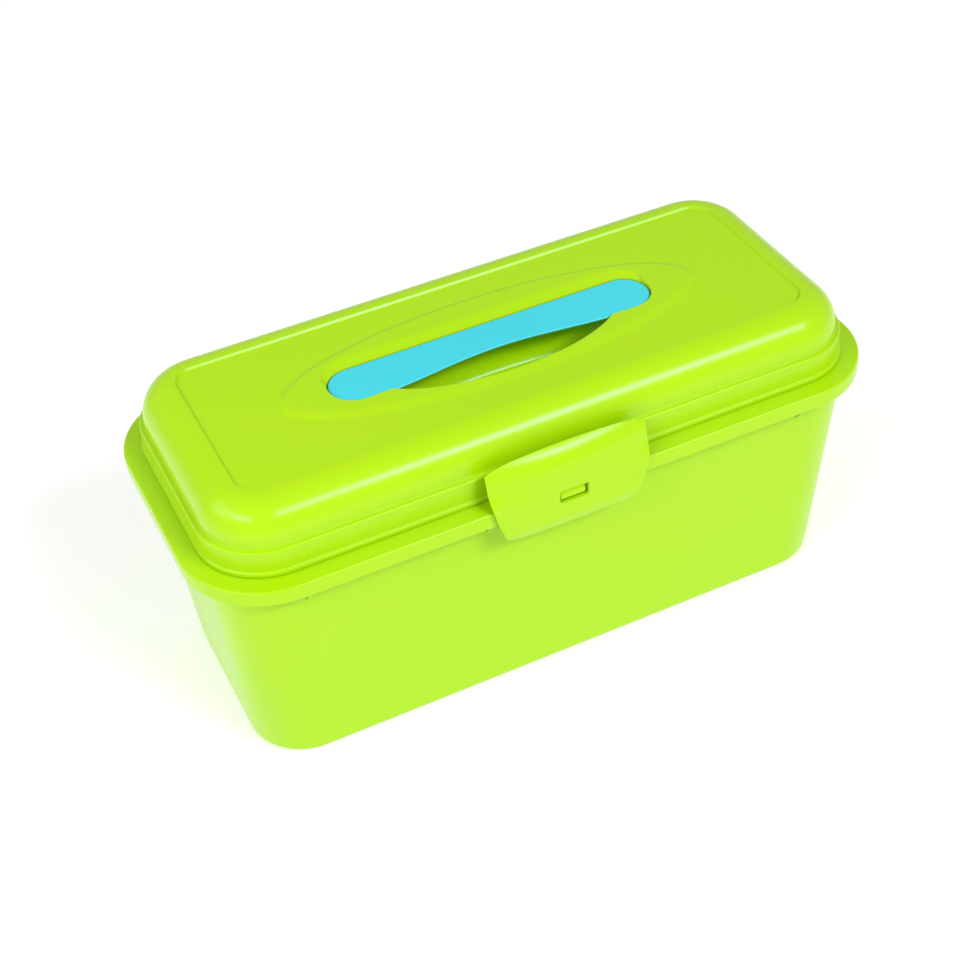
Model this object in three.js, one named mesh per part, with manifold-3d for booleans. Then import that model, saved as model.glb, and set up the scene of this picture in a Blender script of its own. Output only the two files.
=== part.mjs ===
// Sewing box with two sliding trays. Millimetres, +Z up.
// The origin is the centre of the underside. +X runs along the box and -Y is the latch side.
import * as THREE from 'three';
import { mergeVertices } from 'three/addons/utils/BufferGeometryUtils.js';
import Module from 'manifold-3d';

const wasm = await Module();
wasm.setup();

// ---- Driving dimensions ----
// "Offset" is the distance that an outline stands outside the lid dome's outline.

const DOME = { halfX: 150, halfY: 62.3, corner: 27.5, top: 147.7, round: 15.5, skin: 2 };
const PANEL = { inset: 16.9, corner: 8, depth: 1, slope: 0.8 };
// The pad is a low oval rise on the lid's panel. Its runs are the widths of its slopes.
const PAD = { halfX: 101, halfY: 32.8, centreY: -1, top: 147.6, endRun: 5, frontRun: 8.5, backRun: 3.1 };
const SKIRT = { step: 129.6, offset: 2.3, bottom: 117, beadTop: 119.4, beadOffset: 3.3, skin: 1.9 };
const TUB = { height: 108.7, topOffset: 3.2, draft: 7.8, corner: 26.5, edge: 5, skin: 2.2 };
const TONGUE = { outer: -0.1, inner: -1.7, top: 121, jog: 111.5 };
const RIM = { offset: 11.6, bottom: 109, top: 116.7, skin: 2.2 };
const STRAP = {
  halfX: 77.1, endRadius: 12, centreY: -0.6, waist: 5.8, waistSpan: 64, thick: 2.6, top: 146.2, gap: 0.5,
  boss: 2.2, floorGap: 0.3, troughRun: 7,
};
const LEG = { x: 66, sizeX: 10, sizeY: 6, barb: 1.6, bottom: 123.5, barbTop: 126, gap: 0.4 };
const WELL = { halfX: 60, front: 26.4, back: 9, floor: 123, skin: 2 };
// The latch is a crowned plate. Its crown is the distance that its sides stand back from its middle.
const LATCH = {
  x: -1, halfX: 37.5, lowHalfX: 29.6, skin: 1.7, face: -76.4, bottom: 96.4, sideRise: 2.2, cornerRise: 2.6,
  curlZ: 126.1, curlRadius: 15, curlAngle: 56, curlLoss: 19, lowCrown: 0.6, highCrown: 4.5, crownFrom: 117,
  crownTo: 128, hookZ: 104, hookDepth: 3.2, pinY: -70.2, pinZ: 131, barrel: 2.6, barrelHalf: 17.6,
  slotX: 0.1, slotHalfX: 6.8, slotBottom: 111.2, slotTop: 117.6,
};
const LATCH_EAR = { x: 20, thick: 4, radius: 2.2, gap: 0.4, foot: 121.5 };
const CATCH = { proud: 0.4, top: 116.4, ramp: 113.8, bottom: 112, gap: 0.9 };
const PIN = { latchRadius: 1, hingeRadius: 1.2, gap: 0.3 };
const HINGE = { x: 95, y: 79.6, z: 117.3, radius: 3.2, knuckle: 20, ear: 4, gap: 0.4 };
const RAIL = { halfX: 118, drop: 9, upperTop: 88, upperReach: 57, lowerTop: 60, lowerReach: 53 };
const TRAY = { length: 145, height: 24.4, skin: 1.6, draft: 1.2, corner: 23.5, lift: 0.4, gap: 1.5 };
const SLOT = { rib: 1.2, reach: 2.5, gap: 0.3 };
const DIVIDER = { thick: 1.6, baseThick: 2, baseHalfY: 52.5, baseX: 48, baseTop: 57.5 };
const PEG = { radius: 3.1, tip: 2.5, height: 18, y: 38, pitch: 32, count: 4 };
const TRAY_WALL_Y = 16;
const GUSSET = { xs: [-118, -36, 36, 118], thick: 2.2, bottom: 99 };
const ARC_STEPS = 6;
const OVAL_STEPS = 40;

const LIME = new THREE.MeshStandardMaterial({ color: 0xbef62a, roughness: 0.22, metalness: 0 });
const CYAN = new THREE.MeshStandardMaterial({ color: 0x52dae8, roughness: 0.25, metalness: 0 });
const FROST = new THREE.MeshStandardMaterial({ color: 0xeaf4f2, roughness: 0.35, metalness: 0 });
const STEEL = new THREE.MeshStandardMaterial({ color: 0xc8ccd0, roughness: 0.3, metalness: 1 });

// ---- Geometry helpers ----

const radians = THREE.MathUtils.degToRad;
const quarter = (step) => radians((90 * step) / ARC_STEPS);

function solid(geometry) {
  const plain = geometry.clone();
  plain.deleteAttribute('normal');
  plain.deleteAttribute('uv');
  const merged = mergeVertices(plain, 1e-4);
  const vertProperties = new Float32Array(merged.attributes.position.array);
  const triVerts = new Uint32Array(merged.index.array);
  return new wasm.Manifold(new wasm.Mesh({ numProp: 3, vertProperties, triVerts }));
}

const join = (pieces) => pieces.reduce((whole, piece) => whole.add(piece));
const cut = (whole, pieces) => pieces.reduce((rest, piece) => rest.subtract(piece), whole);
const bothSides = (make) => [-1, 1].map(make);

function named(name, shape, material) {
  const { vertProperties, triVerts } = shape.getMesh();
  const geometry = new THREE.BufferGeometry();
  geometry.setAttribute('position', new THREE.BufferAttribute(vertProperties, 3));
  geometry.setIndex(new THREE.BufferAttribute(triVerts, 1));
  geometry.computeVertexNormals();
  const mesh = new THREE.Mesh(geometry, material);
  mesh.name = name;
  return mesh;
}

// A rounded rectangle at height z, counter-clockwise seen from above.
function rectRing(x0, x1, y0, y1, corner, z) {
  const centres = [[x1 - corner, y1 - corner], [x0 + corner, y1 - corner],
    [x0 + corner, y0 + corner], [x1 - corner, y0 + corner]];
  return centres.flatMap(([cx, cy], side) => Array.from({ length: ARC_STEPS + 1 }, (_, step) => {
    const angle = radians(90 * side) + quarter(step);
    return new THREE.Vector3(cx + corner * Math.cos(angle), cy + corner * Math.sin(angle), z);
  }));
}

function outlineRing(offset, z, corner = DOME.corner + offset) {
  const x = DOME.halfX + offset;
  const y = DOME.halfY + offset;
  return rectRing(-x, x, -y, y, corner, z);
}

// An egg-shaped ring with its own half-widths towards the front and the back.
function ovalRing(halfX, front, back, centreY, z) {
  return Array.from({ length: OVAL_STEPS }, (_, step) => {
    const angle = (2 * Math.PI * step) / OVAL_STEPS;
    const side = Math.sin(angle) < 0 ? front : back;
    return new THREE.Vector3(halfX * Math.cos(angle), centreY + side * Math.sin(angle), z);
  });
}

// Joins rings of equal length, lowest first, into one closed solid with flat ends.
function loft(rings) {
  const count = rings[0].length;
  const points = rings.flat();
  const index = [];
  for (let ring = 0; ring + 1 < rings.length; ring += 1) {
    for (let i = 0; i < count; i += 1) {
      const a = ring * count + i;
      const b = ring * count + ((i + 1) % count);
      index.push(a, b, b + count, a, b + count, a + count);
    }
  }
  const last = (rings.length - 1) * count;
  for (const [start, ring, up] of [[0, rings[0], false], [last, rings.at(-1), true]]) {
    const centre = points.length;
    points.push(ring.reduce((sum, p) => sum.add(p), new THREE.Vector3()).divideScalar(count));
    for (let i = 0; i < count; i += 1) {
      const a = start + i;
      const b = start + ((i + 1) % count);
      index.push(...(up ? [centre, a, b] : [centre, b, a]));
    }
  }
  const geometry = new THREE.BufferGeometry();
  geometry.setAttribute('position', new THREE.Float32BufferAttribute(points.flatMap((p) => p.toArray()), 3));
  geometry.setIndex(index);
  return solid(geometry);
}

function block(x0, x1, y0, y1, z0, z1) {
  const geometry = new THREE.BoxGeometry(x1 - x0, y1 - y0, z1 - z0);
  geometry.translate((x0 + x1) / 2, (y0 + y1) / 2, (z0 + z1) / 2);
  return solid(geometry);
}

function rodAlongX(radius, x0, x1, y, z, sides = 16) {
  const geometry = new THREE.CylinderGeometry(radius, radius, x1 - x0, sides);
  geometry.rotateZ(Math.PI / 2);
  geometry.translate((x0 + x1) / 2, y, z);
  return solid(geometry);
}

function extrude(points, depth) {
  const shape = new THREE.Shape(points.map(([u, v]) => new THREE.Vector2(u, v)));
  return new THREE.ExtrudeGeometry(shape, { depth, bevelEnabled: false });
}

// Extrudes an outline of [y, z] points from x0 to x1.
function extrudeAlongX(points, x0, x1) {
  const geometry = extrude(points, x1 - x0);
  const [x, y, z] = [new THREE.Vector3(1, 0, 0), new THREE.Vector3(0, 1, 0), new THREE.Vector3(0, 0, 1)];
  geometry.applyMatrix4(new THREE.Matrix4().makeBasis(y, z, x));
  geometry.translate(x0, 0, 0);
  return solid(geometry);
}

// Extrudes an outline of [x, z] points from y0 to y1.
function extrudeAlongY(points, y0, y1) {
  const geometry = extrude(points, y1 - y0);
  geometry.rotateX(Math.PI / 2);
  geometry.translate(0, y1, 0);
  return solid(geometry);
}

const mirrorY = (points, side) => (side < 0 ? points : points.map(([y, z]) => [-y, z]));

// ---- Base tub ----

// The tub's outer face leans outwards as it rises.
const tubOffset = (z) => TUB.topOffset - TUB.draft * (1 - Math.min(z, TUB.height) / TUB.height);
const tubInnerY = (z) => DOME.halfY + tubOffset(z) - TUB.skin;
const tubInnerX = (z) => DOME.halfX + tubOffset(z) - TUB.skin;

function tubBody(skin, edge, top) {
  const floor = skin;
  const rings = Array.from({ length: ARC_STEPS + 1 }, (_, step) => {
    const z = floor + edge * (1 - Math.cos(quarter(step)));
    const inset = edge * (1 - Math.sin(quarter(step)));
    return outlineRing(tubOffset(z) - skin - inset, z, TUB.corner - skin - inset);
  });
  const upper = outlineRing(TUB.topOffset - skin, TUB.height, TUB.corner - skin);
  rings.push(upper);
  if (top > TUB.height) rings.push(upper.map((p) => p.clone().setZ(top)));
  return loft(rings);
}

// The rim is a channel: a flat top with a lip turned down along its outer edge.
function tubRim() {
  const outer = loft([
    outlineRing(RIM.offset - 0.5, RIM.bottom), outlineRing(RIM.offset, RIM.bottom + 0.7),
    outlineRing(RIM.offset, RIM.top - 0.9), outlineRing(RIM.offset - 0.9, RIM.top),
  ]);
  const channel = RIM.offset - RIM.skin;
  const hollow = [outlineRing(channel, RIM.bottom - 1), outlineRing(channel, RIM.top - RIM.skin)];
  return outer.subtract(loft(hollow));
}

// The tongue stands up inside the lid's skirt. Below it the wall widens to its full width.
const tongue = () => loft([outlineRing(TONGUE.outer, RIM.top - RIM.skin),
  outlineRing(TONGUE.outer, TONGUE.top - 0.6), outlineRing(TONGUE.outer - 0.4, TONGUE.top)]);

function tubCavity() {
  const inner = TUB.topOffset - TUB.skin;
  const jog = loft([outlineRing(inner, TUB.height - 1, TUB.corner - TUB.skin),
    outlineRing(inner, TONGUE.jog, TUB.corner - TUB.skin), outlineRing(TONGUE.inner, RIM.top - RIM.skin),
    outlineRing(TONGUE.inner, TONGUE.top + 1)]);
  return join([tubBody(TUB.skin, TUB.edge - TUB.skin, TUB.height), jog]);
}

function gussets() {
  const root = -(DOME.halfY + tubOffset(GUSSET.bottom));
  const lip = -(DOME.halfY + RIM.offset - RIM.skin / 2);
  const under = RIM.top - RIM.skin / 2;
  const outline = [[root + 1, GUSSET.bottom], [root, GUSSET.bottom], [lip + 1, RIM.bottom + 0.2],
    [lip, RIM.bottom + 0.8], [lip, under], [root + 1, under]];
  return GUSSET.xs.flatMap((x) => bothSides((side) => (
    extrudeAlongX(mirrorY(outline, side), x - GUSSET.thick / 2, x + GUSSET.thick / 2))));
}

// A tray rail is a ledge along a long wall, with a sloping underside.
function rails() {
  return [[RAIL.upperTop, RAIL.upperReach], [RAIL.lowerTop, RAIL.lowerReach]].flatMap(([top, reach]) => {
    const wall = (z) => -(tubInnerY(z) + TUB.skin / 2);
    const outline = [[-reach, top], [wall(top), top], [wall(top - RAIL.drop), top - RAIL.drop],
      [-tubInnerY(top - RAIL.drop) + 0.3, top - RAIL.drop], [-reach, top - 2]];
    return bothSides((side) => extrudeAlongX(mirrorY(outline, side), -RAIL.halfX, RAIL.halfX));
  });
}

// Each base divider stands between two pairs of ribs.
function dividerSlots() {
  const clear = DIVIDER.baseThick / 2 + SLOT.gap;
  const inner = -(DIVIDER.baseHalfY - 3);
  const top = RAIL.lowerTop - 6;
  const outline = [[inner, TUB.skin / 2], [-tubInnerY(TUB.skin) - 0.2, TUB.skin / 2],
    [-tubInnerY(RAIL.lowerTop) - 0.5, top], [inner, top]];
  return bothSides((end) => bothSides((side) => bothSides((face) => {
    const x = end * DIVIDER.baseX + face * (clear + SLOT.rib / 2);
    return extrudeAlongX(mirrorY(outline, side), x - SLOT.rib / 2, x + SLOT.rib / 2);
  }))).flat(2);
}

function hingeEars() {
  const arm = [[DOME.halfY + RIM.offset - 1, RIM.bottom + 0.8], [HINGE.y - 1, RIM.bottom + 2.6],
    [HINGE.y + 2.4, HINGE.z - 2], [HINGE.y, RIM.top - 0.2], [DOME.halfY + RIM.offset - 1, RIM.top - 0.2]];
  return bothSides((end) => bothSides((side) => {
    const inner = HINGE.knuckle / 2 + HINGE.gap;
    const x = end * HINGE.x + side * (inner + HINGE.ear / 2);
    const [x0, x1] = [x - HINGE.ear / 2, x + HINGE.ear / 2];
    return extrudeAlongX(arm, x0, x1).add(rodAlongX(HINGE.radius, x0, x1, HINGE.y, HINGE.z));
  })).flat();
}

// The catch stands behind the latch's slot. It stops short of the plate, which springs over it.
function catchBump() {
  const rim = -(DOME.halfY + RIM.offset);
  const proud = rim - CATCH.proud;
  const halfX = LATCH.slotHalfX - CATCH.gap;
  const middle = LATCH.x + LATCH.slotX;
  const outline = [[rim + 1, CATCH.top], [rim, CATCH.top], [proud, CATCH.ramp], [proud, CATCH.bottom + 0.2],
    [rim, CATCH.bottom], [rim + 1, CATCH.bottom]];
  return extrudeAlongX(outline, middle - halfX, middle + halfX);
}

const hingeBore = () => bothSides((end) => rodAlongX(PIN.hingeRadius + PIN.gap,
  end * HINGE.x - HINGE.knuckle, end * HINGE.x + HINGE.knuckle, HINGE.y, HINGE.z, 12));

function baseTub() {
  const walls = join([tubBody(0, TUB.edge, RIM.top - RIM.skin / 2), tubRim(), tongue()]);
  const shell = walls.subtract(tubCavity());
  const whole = join([shell, ...gussets(), ...rails(), ...dividerSlots(), ...hingeEars(), catchBump()]);
  return named('base_tub', cut(whole, hingeBore()), LIME);
}

const baseDividers = () => bothSides((end) => {
  const { baseThick, baseHalfY, baseX, baseTop } = DIVIDER;
  const floor = TUB.skin + SLOT.gap;
  const plate = block(end * baseX - baseThick / 2, end * baseX + baseThick / 2, -baseHalfY, baseHalfY,
    floor, baseTop);
  return named(end < 0 ? 'base_divider_left' : 'base_divider_right', plate, FROST);
});

// ---- Lid ----

function domeRings(skin, sideZ) {
  const round = DOME.round - skin;
  return Array.from({ length: ARC_STEPS + 1 }, (_, step) => outlineRing(
    -skin - round * (1 - Math.cos(quarter(step))), sideZ + round * Math.sin(quarter(step))));
}

// The dome stands on a small step. A skirt hangs from the step and ends in a bead on the tub's rim.
function lidOutside() {
  const { step, offset, bottom, beadTop, beadOffset } = SKIRT;
  const profile = [[beadOffset - 0.4, bottom], [beadOffset, bottom + 0.5], [beadOffset, beadTop - 0.7],
    [offset, beadTop], [offset, step - 0.8], [offset - 0.7, step], [0.5, step + 0.1], [0, step + 0.9]];
  const rings = profile.map(([out, z]) => outlineRing(out, z));
  return loft([...rings, ...domeRings(0, DOME.top - DOME.round)]);
}

function lidInside() {
  const inner = SKIRT.offset - SKIRT.skin;
  const profile = [[inner, SKIRT.bottom - 1], [inner, SKIRT.step - 2.4], [-DOME.skin, SKIRT.step + 0.4]];
  const rings = profile.map(([out, z]) => outlineRing(out, z));
  return loft([...rings, ...domeRings(DOME.skin, DOME.top - DOME.round - 1)]);
}

function panelRecess() {
  const { inset, corner, depth, slope } = PANEL;
  return loft([
    outlineRing(-inset - slope, DOME.top - depth, corner - slope),
    outlineRing(-inset, DOME.top, corner), outlineRing(-inset, DOME.top + 1, corner),
  ]);
}

// Smooth steps of a slope, as [share of its run, share of its rise].
const EASED = [0, 0.25, 0.5, 0.75, 1].map((share) => [share, share * share * (3 - 2 * share)]);

function raisedPad() {
  const { halfX, halfY, centreY, top, endRun, frontRun, backRun } = PAD;
  const foot = DOME.top - PANEL.depth;
  const rings = EASED.map(([run, rise]) => ovalRing(halfX - endRun * run, halfY - frontRun * run,
    halfY - backRun * run, centreY, foot + (top - foot) * rise));
  return loft([ovalRing(halfX, halfY, halfY, centreY, foot - 1.3), ...rings]);
}

// The strap has round ends, a straight back edge and a front edge drawn in at the middle.
function strapRing(grow, z, shiftY = 0) {
  const { halfX, endRadius, centreY, waist, waistSpan } = STRAP;
  const radius = endRadius + grow;
  const endX = halfX - endRadius;
  const points = [];
  for (let step = 0; step <= 2 * ARC_STEPS; step += 1) {
    const angle = radians(-90) + quarter(step);
    points.push([endX + radius * Math.cos(angle), centreY + radius * Math.sin(angle)]);
  }
  const rightEnd = points.length;
  for (let step = 0; step < rightEnd; step += 1) {
    const [x, y] = points[rightEnd - 1 - step];
    points.push([-x, y]);
  }
  const frontSteps = 4 * ARC_STEPS;
  for (let step = 1; step < frontSteps; step += 1) {
    const x = endX * ((2 * step) / frontSteps - 1);
    const drawnIn = waist * Math.cos((Math.PI * x) / (2 * waistSpan)) ** 2;
    points.push([x, centreY - radius + drawnIn]);
  }
  return points.map(([x, y]) => new THREE.Vector3(x, y + shiftY, z));
}

// Behind the strap the pad slopes down to the strap's top.
function strapTrough() {
  const rings = EASED.map(([run, rise]) => strapRing(STRAP.gap, STRAP.top + (PAD.top - STRAP.top) * rise,
    STRAP.troughRun * run));
  return loft([...rings, strapRing(STRAP.gap, DOME.top + 1, STRAP.troughRun)]);
}

// The finger well is a bowl in front of the strap that also runs under it.
function wellBowl(skin, top) {
  const depths = [[1, 0.72], [0.86, 0.84], [0.65, 0.92], [0.35, 0.975]];
  const rings = depths.map(([depth, scale]) => {
    const z = PAD.top - (PAD.top - WELL.floor) * depth - skin;
    return ovalRing(WELL.halfX * scale + skin, WELL.front * scale + skin, WELL.back * scale + skin, 0, z);
  });
  return loft([...rings, ovalRing(WELL.halfX + skin, WELL.front + skin, WELL.back + skin, 0, top)]);
}

function legBox(end, grow, z0, z1) {
  const [halfX, halfY] = [LEG.sizeX / 2 + grow, LEG.sizeY / 2 + grow];
  return block(end * LEG.x - halfX, end * LEG.x + halfX, STRAP.centreY - halfY, STRAP.centreY + halfY,
    z0, z1);
}

// Two ears on the skirt carry the latch's pin.
function latchEars() {
  const { x, thick, radius, foot } = LATCH_EAR;
  const { pinY, pinZ } = LATCH;
  const skirt = -(DOME.halfY + SKIRT.offset) + 0.8;
  const arm = [[skirt, SKIRT.step - 0.5], [pinY + 1.4, pinZ + 1.7], [pinY - 1.5, pinZ - 1.6],
    [skirt - 2, foot], [skirt, foot]];
  return bothSides((end) => {
    const middle = LATCH.x + end * x;
    const [x0, x1] = [middle - thick / 2, middle + thick / 2];
    return extrudeAlongX(arm, x0, x1).add(rodAlongX(radius, x0, x1, pinY, pinZ));
  });
}

function lidKnuckles() {
  const skirt = DOME.halfY + SKIRT.offset - 0.8;
  const arm = [[skirt, 118.6], [HINGE.y, 118.6], [HINGE.y + 2.2, HINGE.z + 2.2], [HINGE.y - 1, HINGE.z + 4.6],
    [skirt, 124.5]];
  return bothSides((end) => {
    const [x0, x1] = [end * HINGE.x - HINGE.knuckle / 2, end * HINGE.x + HINGE.knuckle / 2];
    return extrudeAlongX(arm, x0, x1).add(rodAlongX(HINGE.radius, x0, x1, HINGE.y, HINGE.z));
  });
}

const latchBore = () => rodAlongX(PIN.latchRadius + PIN.gap, LATCH.x - LATCH_EAR.x - LATCH_EAR.thick,
  LATCH.x + LATCH_EAR.x + LATCH_EAR.thick, LATCH.pinY, LATCH.pinZ, 12);

function lidShell() {
  const strapFloor = STRAP.top - STRAP.thick - STRAP.floorGap;
  const under = DOME.top - PANEL.depth - 1.6;
  const strapBoss = loft([strapRing(STRAP.boss, strapFloor - 1.6), strapRing(STRAP.boss, under)]);
  const shell = lidOutside().subtract(lidInside()).subtract(panelRecess());
  const bowl = wellBowl(WELL.skin, under);
  const whole = join([shell, raisedPad(), strapBoss, bowl, ...latchEars(), ...lidKnuckles()]);
  const strapPocket = loft([strapRing(STRAP.gap, strapFloor), strapRing(STRAP.gap, DOME.top + 1)]);
  const legHoles = bothSides((end) => legBox(end, LEG.gap, strapFloor - 5, strapFloor + 1));
  const cuts = [strapPocket, strapTrough(), wellBowl(0, DOME.top + 1), ...legHoles, latchBore(),
    ...hingeBore()];
  return named('lid_shell', cut(whole, cuts), LIME);
}

function handleStrap() {
  const under = STRAP.top - STRAP.thick;
  const strap = loft([strapRing(-0.4, under), strapRing(0, under + 0.4), strapRing(0, STRAP.top - 0.5),
    strapRing(-0.5, STRAP.top)]);
  const legs = bothSides((end) => legBox(end, 0, LEG.bottom, under + 1));
  const barbs = bothSides((end) => block(end * LEG.x - LEG.sizeX / 2, end * LEG.x + LEG.sizeX / 2,
    STRAP.centreY - LEG.sizeY / 2 - LEG.barb, STRAP.centreY + LEG.sizeY / 2 + LEG.barb,
    LEG.bottom, LEG.barbTop));
  const splits = bothSides((end) => block(end * LEG.x - LEG.sizeX, end * LEG.x + LEG.sizeX,
    STRAP.centreY - 0.8, STRAP.centreY + 0.8, LEG.bottom - 1, under - 4));
  return named('handle_strap', cut(join([strap, ...legs, ...barbs]), splits), CYAN);
}

// ---- Latch ----

// A point on the plate's outer face. u runs across it from -1 to 1 and v runs up it from 0 to 1.
function latchPoint(u, v) {
  const side = Math.abs(u);
  const angle = radians(LATCH.curlAngle - LATCH.curlLoss * side ** 2);
  const low = LATCH.sideRise * side ** 2 + LATCH.cornerRise * side ** 8;
  const straight = LATCH.curlZ - LATCH.bottom;
  const along = low + (straight + LATCH.curlRadius * angle - 1.5 * side ** 10 - low) * v;
  const turn = Math.max(along - straight, 0) / LATCH.curlRadius;
  const z = LATCH.bottom + Math.min(along, straight) + LATCH.curlRadius * Math.sin(turn);
  const share = THREE.MathUtils.clamp((z - LATCH.bottom) / (LATCH.crownTo - LATCH.bottom), 0, 1);
  const halfX = LATCH.lowHalfX + (LATCH.halfX - LATCH.lowHalfX) * Math.sin((share * Math.PI) / 2);
  const crownShare = THREE.MathUtils.smoothstep(z, LATCH.crownFrom, LATCH.crownTo);
  const crown = LATCH.lowCrown + (LATCH.highCrown - LATCH.lowCrown) * crownShare;
  const hook = LATCH.hookDepth * (Math.max(LATCH.hookZ - z, 0) / (LATCH.hookZ - LATCH.bottom)) ** 2;
  const y = LATCH.face + crown * side ** 2 + hook + LATCH.curlRadius * (1 - Math.cos(turn));
  return new THREE.Vector3(LATCH.x + u * halfX, y, z);
}

// The plate is a grid of points on its outer face and a second grid one skin behind it.
function latchPlate() {
  const [across, up] = [16, 16];
  const outer = Array.from({ length: (up + 1) * (across + 1) }, (_, place) => latchPoint(
    (2 * (place % (across + 1))) / across - 1, Math.floor(place / (across + 1)) / up));
  const at = (row, column) => row * (across + 1) + column;
  const span = (from, to) => outer[to].clone().sub(outer[from]);
  const inner = outer.map((point, place) => {
    const [row, column] = [Math.floor(place / (across + 1)), place % (across + 1)];
    const right = span(at(row, Math.max(column - 1, 0)), at(row, Math.min(column + 1, across)));
    const above = span(at(Math.max(row - 1, 0), column), at(Math.min(row + 1, up), column));
    return point.clone().addScaledVector(right.cross(above).normalize(), -LATCH.skin);
  });
  const index = [];
  const quad = (a, b, c, d) => index.push(a, b, c, a, c, d);
  const behind = outer.length;
  for (let row = 0; row < up; row += 1) {
    for (let column = 0; column < across; column += 1) {
      const [a, b] = [at(row, column), at(row, column + 1)];
      const [c, d] = [at(row + 1, column + 1), at(row + 1, column)];
      quad(a, b, c, d);
      quad(behind + a, behind + d, behind + c, behind + b);
    }
    quad(at(row, 0), at(row + 1, 0), behind + at(row + 1, 0), behind + at(row, 0));
    quad(at(row, across), behind + at(row, across), behind + at(row + 1, across), at(row + 1, across));
  }
  for (let column = 0; column < across; column += 1) {
    quad(at(0, column), behind + at(0, column), behind + at(0, column + 1), at(0, column + 1));
    quad(at(up, column), at(up, column + 1), behind + at(up, column + 1), behind + at(up, column));
  }
  const geometry = new THREE.BufferGeometry();
  const points = [...outer, ...inner].flatMap((p) => p.toArray());
  geometry.setAttribute('position', new THREE.Float32BufferAttribute(points, 3));
  geometry.setIndex(index);
  return solid(geometry);
}

function latch() {
  const { x, face, pinY, pinZ, barrel, barrelHalf, slotX, slotHalfX, slotBottom, slotTop } = LATCH;
  const hinge = [rodAlongX(barrel, x - barrelHalf, x + barrelHalf, pinY, pinZ),
    block(x - barrelHalf, x + barrelHalf, face + 2.2, pinY, pinZ - 1.2, pinZ + 1)];
  const reliefHalf = LATCH_EAR.thick / 2 + LATCH_EAR.gap;
  const reliefs = bothSides((end) => rodAlongX(LATCH_EAR.radius + 0.3,
    x + end * LATCH_EAR.x - reliefHalf, x + end * LATCH_EAR.x + reliefHalf, pinY, pinZ));
  const slotMiddle = x + slotX;
  const slot = block(slotMiddle - slotHalfX, slotMiddle + slotHalfX, face - 1, face + 4, slotBottom, slotTop);
  return named('latch', cut(join([latchPlate(), ...hinge]), [...reliefs, latchBore(), slot]), LIME);
}

function pins() {
  const latchReach = LATCH_EAR.x + LATCH_EAR.thick / 2 + 0.6;
  const latchPin = rodAlongX(PIN.latchRadius, LATCH.x - latchReach, LATCH.x + latchReach,
    LATCH.pinY, LATCH.pinZ, 12);
  const reach = HINGE.knuckle / 2 + HINGE.gap + HINGE.ear + 0.6;
  return [named('latch_pin', latchPin, STEEL), ...bothSides((end) => named(
    end < 0 ? 'hinge_pin_left' : 'hinge_pin_right',
    rodAlongX(PIN.hingeRadius, end * HINGE.x - reach, end * HINGE.x + reach, HINGE.y, HINGE.z, 12), STEEL))];
}

// ---- Trays ----

// The upper tray rests at the left end and the lower tray at the right end.
const upperBay = () => {
  const z0 = RAIL.upperTop + TRAY.lift;
  const x0 = -(tubInnerX(z0) - TRAY.gap);
  return { x0, x1: x0 + TRAY.length, halfY: tubInnerY(z0) - TRAY.gap, z0, openEnd: 1 };
};
const lowerBay = () => {
  const z0 = RAIL.lowerTop + TRAY.lift;
  const x1 = tubInnerX(z0) - TRAY.gap;
  return { x0: x1 - TRAY.length, x1, halfY: RAIL.upperReach - 0.7, z0, openEnd: -1 };
};

function trayShell({ x0, x1, halfY, z0, openEnd }) {
  const { height, skin, draft, corner } = TRAY;
  const ring = (inset, z) => rectRing(x0 + inset, x1 - inset, -halfY + inset, halfY - inset,
    corner - inset, z);
  const outer = loft([ring(draft + 1.5, z0), ring(draft, z0 + 1.5), ring(0, z0 + height)]);
  const inner = loft([ring(draft + skin, z0 + skin), ring(skin, z0 + height + 0.1),
    ring(skin, z0 + height + 3)]);
  const endX = openEnd > 0 ? x1 : x0;
  const notch = new THREE.CylinderGeometry(12, 12, 4 * skin + 2 * draft, 20).rotateZ(Math.PI / 2)
    .translate(endX, 0, z0 + height + 3);
  return outer.subtract(inner).subtract(solid(notch));
}

// A pair of ribs on a wall, standing out from wallY towards side, holds a divider's edge at x.
function slotRibs(x, wallY, side, z0) {
  const clear = DIVIDER.thick / 2 + SLOT.gap;
  const [y0, y1] = [wallY, wallY + side * SLOT.reach].sort((a, b) => a - b);
  return bothSides((face) => {
    const edge = x + face * clear;
    const [near, far] = [edge, edge + face * SLOT.rib].sort((a, b) => a - b);
    return block(near, far, y0, y1, z0 + TRAY.skin / 2, z0 + TRAY.height - 2);
  });
}

const dividerPlate = (x, y0, y1, z0) => block(x - DIVIDER.thick / 2, x + DIVIDER.thick / 2, y0, y1,
  z0 + TRAY.skin + SLOT.gap, z0 + TRAY.height - 1.5);

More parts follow.
